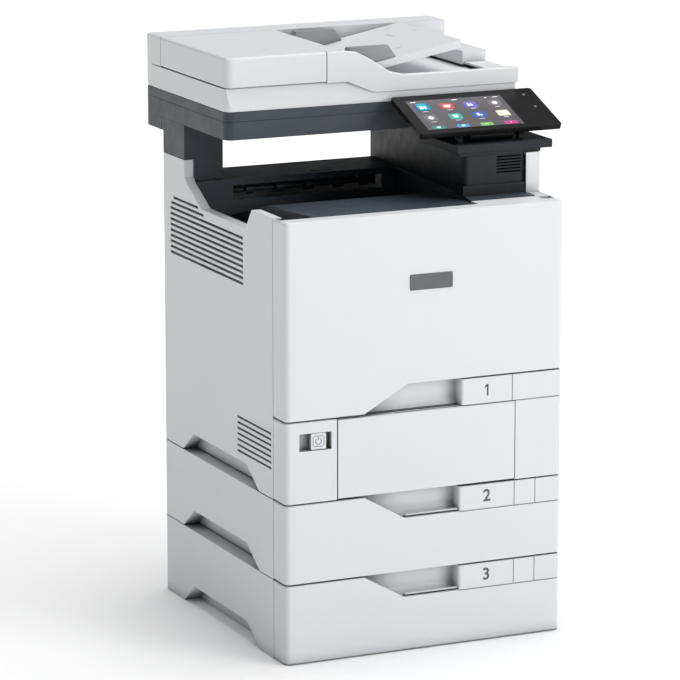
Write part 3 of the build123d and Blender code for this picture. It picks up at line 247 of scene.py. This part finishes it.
finishes = {
    "white": mouldedPlastic("whiteShell", (0.79, 0.81, 0.835), 0.012),
    "dark": mouldedPlastic("darkShell", (0.036, 0.05, 0.066), 0.08, (0.4, 0.5)),
    # painted light: the bin's copy of the dark shell is lighter, for the light that the scanner keeps
    # from the bin
    "darkBinPaintedLight": mouldedPlastic("darkBinPaintedLight", (0.045, 0.061, 0.078), 0.08, (0.42, 0.55), 1700.0, 0.00006),
    # painted shade: a darker copy of the dark shell for the pillar, bracket and hinge barrel, standing
    # in for the panel's shadow
    "darkPillarPaintedShade": mouldedPlastic("darkPillarPaintedShade", (0.008, 0.0125, 0.018), 0.08, (0.42, 0.52), sheen=0.3),
    "black": mouldedPlastic(
        "blackFascia", (0.007, 0.0068, 0.0068), 0.1, (0.3, 0.4), 3200.0, 0.00002, 0.14
    ),
    "grey": mouldedPlastic("greyGuide", (0.33, 0.345, 0.35), 0.03),
    "numeral": mouldedPlastic("numeralInk", (0.11, 0.115, 0.12), 0.05, (0.5, 0.6)),
    "badge": mouldedPlastic("badgePlate", (0.115, 0.125, 0.13), 0.06, (0.3, 0.38)),
    "inner": mouldedPlastic("innerBlack", (0.02, 0.02, 0.022), 0.2, (0.5, 0.6), 1500.0),
    "cassette": mouldedPlastic("cassetteGrey", (0.06, 0.063, 0.068), 0.1, (0.5, 0.6), 1500.0),
    "rubber": mouldedPlastic("rollerRubber", (0.03, 0.03, 0.032), 0.2, (0.7, 0.85), 900.0, 0.0001, 0.3),
    "board": mouldedPlastic("boardGreen", (0.01, 0.11, 0.045), 0.2, (0.25, 0.4), 500.0),
    "toner": mouldedPlastic("tonerShell", (0.035, 0.035, 0.037), 0.15, (0.4, 0.5)),
    "steel": brushedSteel("zincSteel", (0.6, 0.61, 0.62)),
    "glass": clearGlass("flatbedGlass", (0.8, 0.87, 0.85)),
    "screen": litPlastic("screenField", (0.09, 0.082, 0.095), 0.34),
}

nodeFinish = {
    "white": [
        "tray1_front", "tray2_front", "tray3_front", "tray2_housing", "tray3_housing", "left_cover",
        "right_cover", "rear_cover", "lower_left_cover", "front_door", "bypass_door", "rear_door",
        "feeder_base", "feeder_top_cover", "feeder_input_tray", "platen_pad", "power_button",
    ],
    "dark": ["left_neck", "scanner_base", "scanner_bezel"],
    "darkPillarPaintedShade": ["control_pillar", "panel_bracket"],
    "darkBinPaintedLight": ["output_bin", "exit_roller"],
    "black": ["panel_housing"],
    "badge": ["badge_plate"],
    "grey": ["feeder_front_guide", "feeder_rear_guide", "bypass_extension"],
    "screen": ["display_screen"],
    "glass": ["platen_glass"],
    "steel": ["main_frame", "carriage_rail", "power_supply"],
    "inner": ["scan_carriage", "imaging_unit", "laser_unit", "fuser_unit", "cooling_fan", "fan_rotor"],
    "rubber": ["rubber_feet", "feeder_pick_roller", "fuser_roller"],
    "board": ["controller_board"],
    "toner": ["toner_cartridges"],
}
for number in (1, 2, 3):
    nodeFinish["cassette"] = nodeFinish.get("cassette", []) + [f"tray{number}_cassette"]
    nodeFinish["steel"].append(f"tray{number}_lift_plate")
    nodeFinish["grey"] += [f"tray{number}_left_guide", f"tray{number}_right_guide"]
    nodeFinish["rubber"].append(f"tray{number}_pick_roller")


def paintNodes():
    for finish, names in nodeFinish.items():
        for name in names:
            data = nodes[name].data
            data.materials.clear()
            data.materials.append(finishes[finish])


paintNodes()
print("CAD nodes finished")


# ---------- small tools

def onlyActive(obj):
    bpy.ops.object.select_all(action="DESELECT")
    obj.select_set(True)
    bpy.context.view_layer.objects.active = obj


def settle(obj, name, finish, body):
    onlyActive(obj)
    bpy.ops.object.transform_apply(location=True, rotation=True, scale=True)
    obj.name = name
    obj.data.name = name
    obj.data.materials.clear()
    obj.data.materials.append(finish)
    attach(obj, body)
    return obj


def selectEdges(obj, wanted):
    bpy.ops.object.mode_set(mode="EDIT")
    bpy.ops.mesh.select_all(action="DESELECT")
    bpy.ops.object.mode_set(mode="OBJECT")
    for edge in obj.data.edges:
        ends = [obj.data.vertices[i].co for i in edge.vertices]
        edge.select = wanted((ends[0] + ends[1]) / 2, (ends[1] - ends[0]).normalized())
    bpy.ops.object.mode_set(mode="EDIT")
    bpy.ops.mesh.select_mode(type="EDGE")


def plate(size, corner=0.0, rim=0.0, place=(0, 0, 0), turn=(0, 0, 0), steps=4):
    # a slab in millimetres, rounded in plan by corner and along its upper rim by rim
    bpy.ops.mesh.primitive_cube_add(size=1, location=[p * mm for p in place], rotation=turn)
    obj = bpy.context.object
    obj.scale = [s * mm for s in size]
    bpy.ops.object.transform_apply(location=False, rotation=False, scale=True)
    if corner:
        selectEdges(obj, lambda middle, along: abs(along.z) > 0.9)
        bpy.ops.mesh.bevel(offset=corner * mm, segments=steps, affect="EDGES")
        bpy.ops.object.mode_set(mode="OBJECT")
    if rim:
        top = size[2] / 2 * mm
        selectEdges(obj, lambda middle, along: middle.z > top - 1e-7 and abs(along.z) < 0.1)
        bpy.ops.mesh.bevel(offset=rim * mm, segments=2, affect="EDGES")
        bpy.ops.object.mode_set(mode="OBJECT")
    return obj


def ring(outer, inner, height, place, turn=(0, 0, 0), sides=28):
    # a flat washer with a shallow dished face
    bpy.ops.mesh.primitive_cylinder_add(
        vertices=sides, radius=outer * mm, depth=height * mm,
        location=[p * mm for p in place], rotation=turn,
    )
    obj = bpy.context.object
    bpy.ops.object.mode_set(mode="EDIT")
    bpy.ops.mesh.select_mode(type="FACE")
    bpy.ops.mesh.select_all(action="DESELECT")
    bpy.ops.object.mode_set(mode="OBJECT")
    for face in obj.data.polygons:
        face.select = face.normal.z > 0.9
    bpy.ops.object.mode_set(mode="EDIT")
    bpy.ops.mesh.inset(thickness=(outer - inner) * mm)
    bpy.ops.transform.translate(value=(0, 0, -height * 0.6 * mm), orient_type="LOCAL")
    bpy.ops.object.mode_set(mode="OBJECT")
    return obj


def joined(objects):
    bpy.ops.object.select_all(action="DESELECT")
    for obj in objects:
        obj.select_set(True)
    bpy.context.view_layer.objects.active = objects[0]
    bpy.ops.object.join()
    return bpy.context.object


# ---------- tray numbers

digits = {
    "size": 25.5, "weight": 0.5, "depth": 0.2, "x": 101.0, "face": -230.2, "stroke": 2.7, "tall": 17.5,
    "flagAt": (2.3, 2.6), "flagLong": 6.0, "flagTurn": radians(48),
    "heights": {1: 382.0, 2: 221.0, 3: 100.6},
}


def strokedOne(spec, height):
    # an upright with a short flag
    facing = (pi / 2, 0, 0)
    place = (spec["x"], spec["face"], height)
    upright = plate((spec["stroke"], spec["tall"], spec["depth"]), place=place, turn=facing)
    left, down = spec["flagAt"]
    flagPlace = (spec["x"] - left, spec["face"], height + spec["tall"] / 2 - down)
    flagSize = (spec["stroke"] * 0.9, spec["flagLong"], spec["depth"])
    flag = plate(flagSize, place=flagPlace, turn=(pi / 2, spec["flagTurn"], 0))
    return joined([upright, flag])


def trayNumbers(spec):
    for number, height in spec["heights"].items():
        if number == 1:
            one = strokedOne(spec, height)
            settle(one, "tray1_numeral", finishes["numeral"], "tray1_drawer")
            continue
        bpy.ops.object.text_add(location=(0, 0, 0), rotation=(pi / 2, 0, 0))
        text = bpy.context.object
        text.data.body = str(number)
        text.data.size = spec["size"] * mm
        text.data.extrude = spec["depth"] / 2 * mm
        text.data.offset = spec["weight"] * mm
        text.data.align_x = "CENTER"
        text.data.align_y = "CENTER"
        text.location = [spec["x"] * mm, spec["face"] * mm, height * mm]
        onlyActive(text)
        bpy.ops.object.convert(target="MESH")
        numeral = bpy.context.object
        settle(numeral, f"tray{number}_numeral", finishes["numeral"], f"tray{number}_drawer")


trayNumbers(digits)
print("tray numbers placed")


# ---------- touch screen

panel = {"corner": (37.0, -135.0, 752.0), "tilt": radians(20.9), "length": 112.7}
screenSpec = {
    "left": 17.5, "top": 15.0, "width": 157.5, "height": 86.0,
    "tile": (20.5, 16.5), "columns": (0.12, 0.377, 0.625, 0.88), "rows": (0.25, 0.61),
    "cutRow": 0.94, "cutHeight": 9.0, "light": 0.28, "corner": 2.6,
    "tileLift": 0.1, "iconLift": 0.24, "iconScale": 1.15, "cutIconScale": 0.62,
    "captionDrop": 0.135, "caption": (9.0, 0.9, 0.1), "barAt": 0.055,
    "barMarks": ((0.065, 9.0), (0.5, 9.0), (0.83, 3.2), (0.93, 9.0)),        # across and width
}
tileColours = [
    [(0.03, 0.42, 0.58), (0.62, 0.07, 0.05), (0.16, 0.14, 0.62), (0.16, 0.15, 0.17)],
    [(0.16, 0.15, 0.17), (0.03, 0.42, 0.36), (0.03, 0.11, 0.52), (0.8, 0.74, 0.55)],
    [(0.02, 0.26, 0.2), (0.06, 0.3, 0.62), (0.2, 0.55, 0.12), (0.58, 0.05, 0.28)],
]
iconKinds = [
    ["page", "card", "people", "gear"],
    ["gear", "stack", "fan", "list"],
    ["card", "page", "bar", "dot"],
]


def onPanel(u, v, lift):
    x, y, z = panel["corner"]
    tilt = panel["tilt"]
    return (x + u, y + v * cos(tilt) - lift * sin(tilt), z + v * sin(tilt) + lift * cos(tilt))


def onScreen(across, down, lift):
    u = screenSpec["left"] + across * screenSpec["width"]
    v = panel["length"] - screenSpec["top"] - down * screenSpec["height"]
    return onPanel(u, v, lift)


flat = (panel["tilt"], 0, 0)
iconInk = litPlastic("screenInk", (0.85, 0.87, 0.9), 0.55)


def icon(kind, across, down, lift, scale):
    w, h = screenSpec["width"], screenSpec["height"]

    def part(dx, dy, sx, sy, corner=0.4):
        place = onScreen(across + dx * scale / w, down - dy * scale / h, lift)
        return plate((sx * scale, sy * scale, 0.12), corner * scale, 0, place, flat, 3)

    if kind == "page":
        return [part(-1.6, 0, 5.0, 7.0), part(3.4, 0.6, 2.6, 5.0), part(3.4, -3.0, 2.6, 1.0, 0.3)]
    if kind == "card":
        return [part(0, 0.6, 9.5, 4.6, 0.8), part(0, -3.3, 6.0, 1.2, 0.4)]
    if kind == "people":
        heads = [part(dx, 2.2, 2.4, 2.4, 1.1) for dx in (-3.4, 0.8)]
        return heads + [part(dx, -1.6, 3.6, 3.4, 1.4) for dx in (-3.4, 0.8)]
    if kind == "gear":
        place = onScreen(across, down, lift)
        hub = ring(3.6 * scale, 1.6 * scale, 0.16, place, flat, 14)
        return [hub, part(0, 0, 1.0, 9.0), part(0, 0, 9.0, 1.0)]
    if kind == "stack":
        return [part(0, 2.6 - 2.6 * i, 8.5 - i, 1.3, 0.4) for i in range(3)]
    if kind == "fan":
        return [part(-1.2, 0.4, 4.4, 6.6, 1.6), part(2.8, -1.4, 3.2, 3.6, 1.2)]
    if kind == "list":
        return [part(0, 0, 9.0, 8.0, 0.8), part(-2.4, 1.2, 2.2, 2.2, 0.5)]
    if kind == "bar":
        return [part(0, 0, 8.0, 2.0, 0.6)]
    return [part(0, 0, 3.4, 3.4, 1.5)]


def buildScreen(spec):
    icons = []
    for row in range(3):
        cut = row == 2
        down = spec["cutRow"] if cut else spec["rows"][row]
        height = spec["cutHeight"] if cut else spec["tile"][1]
        for column, across in enumerate(spec["columns"]):
            colour = tileColours[row][column]
            size = (spec["tile"][0], height, 0.16)
            tile = plate(size, spec["corner"], 0.05, onScreen(across, down, spec["tileLift"]), flat)
            glow = litPlastic(f"tile{row}{column}Glow", colour, spec["light"])
            settle(tile, f"screen_tile_{row + 1}_{column + 1}", glow, "control_panel")
            kind = iconKinds[row][column]
            scale = spec["cutIconScale"] if cut else spec["iconScale"]
            icons += icon(kind, across, down, spec["iconLift"], scale)
            if not cut:
                place = onScreen(across, down + spec["captionDrop"], 0.06)
                icons.append(plate(spec["caption"], 0.3, 0, place, flat, 2))
    for across, width in spec["barMarks"]:
        place = onScreen(across, spec["barAt"], 0.06)
        icons.append(plate((width, 1.6, 0.1), 0.5, 0, place, flat, 2))
    settle(joined(icons), "screen_icons", iconInk, "control_panel")


buildScreen(screenSpec)

panelMarks = {
    "ink": (0.2, 0.2, 0.21), "home": (213.2, 19.0), "return": (215.3, 55.5), "light": (172.0, 102.5),
    "caps": (72.0, 147.0), "capDepth": -5.4,
}


def buildPanelMarks(spec):
    pieces = []
    for key in ("home", "return"):
        u, down = spec[key]
        pieces.append(ring(2.4, 1.5, 0.14, onPanel(u, panel["length"] - down, 0.04), flat, 20))
    u, down = spec["light"]
    pieces.append(plate((5.0, 1.3, 0.14), 0.55, 0, onPanel(u, panel["length"] - down, 0.05), flat, 3))
    settle(joined(pieces), "panel_marks", litPlastic("markInk", spec["ink"], 0.2), "control_panel")
    holes = []
    facing = (panel["tilt"] + pi / 2, 0, 0)
    for u in spec["caps"]:
        holes.append(ring(1.9, 1.2, 0.3, onPanel(u, 0, spec["capDepth"]), facing, 18))
    settle(joined(holes), "panel_edge_caps", finishes["inner"], "control_panel")


buildPanelMarks(panelMarks)
print("touch screen built")


# ---------- power button symbol

powerSign = {
    "x": -172.0, "z": 332.0, "face": -229.5, "radius": 4.6, "line": 0.9, "gap": 0.5, "barLong": 4.6,
    "edge": 8.6, "edgeUp": 7.6, "edgeLong": 14.0, "edgeWide": 0.7,
}


def buildPowerSign(spec):
    # an open ring with a bar through its gap, raised a little from the cap
    place = [spec["x"] * mm, spec["face"] * mm, spec["z"] * mm]
    bpy.ops.mesh.primitive_torus_add(
        location=place, rotation=(pi / 2, 0, 0), major_segments=36, minor_segments=8,
        major_radius=spec["radius"] * mm, minor_radius=spec["line"] / 2 * mm,
    )
    hoop = bpy.context.object
    bpy.ops.object.mode_set(mode="EDIT")
    bpy.ops.mesh.select_mode(type="VERT")
    bpy.ops.mesh.select_all(action="DESELECT")
    bpy.ops.object.mode_set(mode="OBJECT")
    for vertex in hoop.data.vertices:
        vertex.select = abs(atan2(vertex.co.x, vertex.co.y)) < spec["gap"]
    bpy.ops.object.mode_set(mode="EDIT")
    bpy.ops.mesh.delete(type="VERT")
    bpy.ops.mesh.select_all(action="SELECT")
    bpy.ops.mesh.region_to_loop()
    bpy.ops.mesh.fill_holes(sides=0)
    bpy.ops.mesh.select_all(action="SELECT")
    bpy.ops.mesh.normals_make_consistent(inside=False)
    bpy.ops.object.mode_set(mode="OBJECT")
    top = (spec["x"], spec["face"], spec["z"] + spec["radius"] - 0.6)
    facing = (pi / 2, 0, 0)
    bar = plate((spec["line"], spec["barLong"], 0.6), 0.4, 0, top, facing, 3)
    frameBars = []
    upright = (spec["edgeWide"], spec["edgeLong"])
    across = (spec["edgeLong"], spec["edgeWide"])
    edges = [(-spec["edge"], 0, upright), (spec["edge"], 0, upright)]
    edges += [(0, spec["edgeUp"], across), (0, -spec["edgeUp"], across)]
    for dx, dz, size in edges:
        spot = (spec["x"] + dx, spec["face"], spec["z"] + dz)
        frameBars.append(plate((*size, 0.4), 0.3, 0, spot, facing, 2))
    settle(joined([hoop, bar] + frameBars), "power_symbol", finishes["numeral"], "power_button")


buildPowerSign(powerSign)
print("power button marked")


# ---------- louvre blades behind the side slots

louvres = {
    "thick": 1.1, "reach": 9.5, "lean": radians(34), "x": -222.1,
    "leftUpper": {
        "first": 541.0, "pitch": 8.5, "count": 11, "drop": 2.2, "y": (-80, 198), "cut": 614.0,
    },
    "leftLower": {"first": 285.8, "pitch": 8.6, "count": 7, "drop": 1.8, "y": (-180.0, -56.0)},
}


def blade(spec, y0, y1, z):
    # one slat that rises inward from the lower lip of its slot
    lean, reach = spec["lean"], spec["reach"]
    place = (spec["x"] + reach / 2 * cos(lean), (y0 + y1) / 2, z + reach / 2 * sin(lean))
    return plate((reach, y1 - y0, spec["thick"]), 0.0, 0.3, place, (0, -lean, 0))


def buildLouvres(spec):
    upper = []
    group = spec["leftUpper"]
    for i in range(group["count"]):
        z = group["first"] + i * group["pitch"]
        y0, y1 = group["y"]
        rise = z - group["cut"]        # the highest slats are short, below the sloping rim
        if rise >= 0:
            y0, y1 = 60 + rise * 2.4, y1 - rise
        upper.append(blade(spec, y0, y1, z - group["drop"]))
    settle(joined(upper), "upper_louvre_blades", finishes["white"], "copier")
    lower = []
    group = spec["leftLower"]
    for i in range(group["count"]):
        z = group["first"] + i * group["pitch"] - group["drop"]
        lower.append(blade(spec, *group["y"], z))
    settle(joined(lower), "lower_louvre_blades", finishes["white"], "copier")


buildLouvres(louvres)
print("louvres built")


# ---------- marks of the document tray

trayMarks = {
    "pivot": (-26.0, 829.5), "tilt": radians(10.8), "lift": 0.05,
    "marks": (        # along the tray, y, length, across
        (168.0, 196.0, 9.0, True), (188.0, 140.0, 9.0, True),
        (150.0, 150.0, 26.0, False), (120.0, 60.0, 14.0, True),
    ),
}


def buildTrayMarks(spec):
    pieces = []
    for u, y, length, across in spec["marks"]:
        x = spec["pivot"][0] + u * cos(spec["tilt"]) - spec["lift"] * sin(spec["tilt"])
        z = spec["pivot"][1] + u * sin(spec["tilt"]) + spec["lift"]
        size = (length, 0.9, 0.12) if across else (0.9, length, 0.12)
        pieces.append(plate(size, 0.35, 0, (x, y, z), (0, -spec["tilt"], 0), 2))
    settle(joined(pieces), "document_tray_marks", finishes["numeral"], "feeder_input_tray")


buildTrayMarks(trayMarks)
print("tray marks placed")


# ---------- finger grips

grips = {
    "lip": {"x": (-31.0, 55.0), "y": -225.0, "thick": 2.4, "deep": 3.4, "above": 3.2},
    "shade": {"x": (-33.0, 55.0), "y": -224.6, "deep": 3.0, "tall": 2.0},
    "sills": {2: 202.4, 3: 82.0},
    "bypass": {"x": (-97.0, 58.0), "y": -216.0, "z": 362.2, "deep": 2.2, "tall": 2.4},
}


def buildGrips(spec):
    for number, sill in spec["sills"].items():
        lip, shade = spec["lip"], spec["shade"]
        x0, x1 = lip["x"]
        place = ((x0 + x1) / 2, lip["y"], sill + lip["above"])
        bar = plate((x1 - x0, lip["deep"], lip["thick"]), 1.2, 0.7, place)
        settle(bar, f"tray{number}_grip_lip", finishes["white"], f"tray{number}_drawer")
        # painted shadow: a black strip in the finger grip's gap, where there is only shade
        x0, x1 = shade["x"]
        place = ((x0 + x1) / 2, shade["y"], sill + shade["tall"] / 2)
        gap = plate((x1 - x0, shade["deep"], shade["tall"]), 0.6, 0.4, place)
        settle(gap, f"tray{number}_grip_painted_shadow", finishes["inner"], f"tray{number}_drawer")
    # painted shadow: a black strip behind the bypass door's seam, where there is only shade
    bypass = spec["bypass"]
    x0, x1 = bypass["x"]
    place = ((x0 + x1) / 2, bypass["y"], bypass["z"])
    shadowStrip = plate((x1 - x0, bypass["deep"], bypass["tall"]), 0.6, 0.5, place)
    settle(shadowStrip, "bypass_door_painted_shadow", finishes["inner"], "tray1_drawer")


buildGrips(grips)
print("finger grips finished")


# ---------- barrel over the panel's hinge

barrelSpec = {"x": (124.0, 196.0), "y": -114.0, "z": 742.5, "radius": 9.6, "edge": 0.8, "sides": 40}


def buildBarrel(spec):
    x0, x1 = spec["x"]
    bpy.ops.mesh.primitive_cylinder_add(
        vertices=spec["sides"], radius=spec["radius"] * mm, depth=(x1 - x0) * mm,
        location=((x0 + x1) / 2 * mm, spec["y"] * mm, spec["z"] * mm), rotation=(0, pi / 2, 0),
    )
    barrel = bpy.context.object
    selectEdges(barrel, lambda middle, along: abs(along.z) < 0.1)
    bpy.ops.mesh.bevel(offset=spec["edge"] * mm, segments=3, affect="EDGES")
    bpy.ops.object.mode_set(mode="OBJECT")
    onlyActive(barrel)
    bpy.ops.object.shade_smooth_by_angle(angle=radians(35))
    # the barrel takes the pillar's darker copy, with its painted shade
    settle(barrel, "panel_hinge_barrel", finishes["darkPillarPaintedShade"], "control_panel")


buildBarrel(barrelSpec)


# ---------- filler at the neck's rear corner

cornerSpec = {"size": (5.0, 8.8, 19.4), "place": (-222.4, 226.8, 733.4)}


def buildCorner(spec):
    # closes the notch between the rounded neck and the hanging scanner part
    corner = plate(spec["size"], 0.6, 0.4, spec["place"])
    settle(corner, "neck_corner_filler", finishes["dark"], "copier")


buildCorner(cornerSpec)
print("hinge barrel and neck corner built")
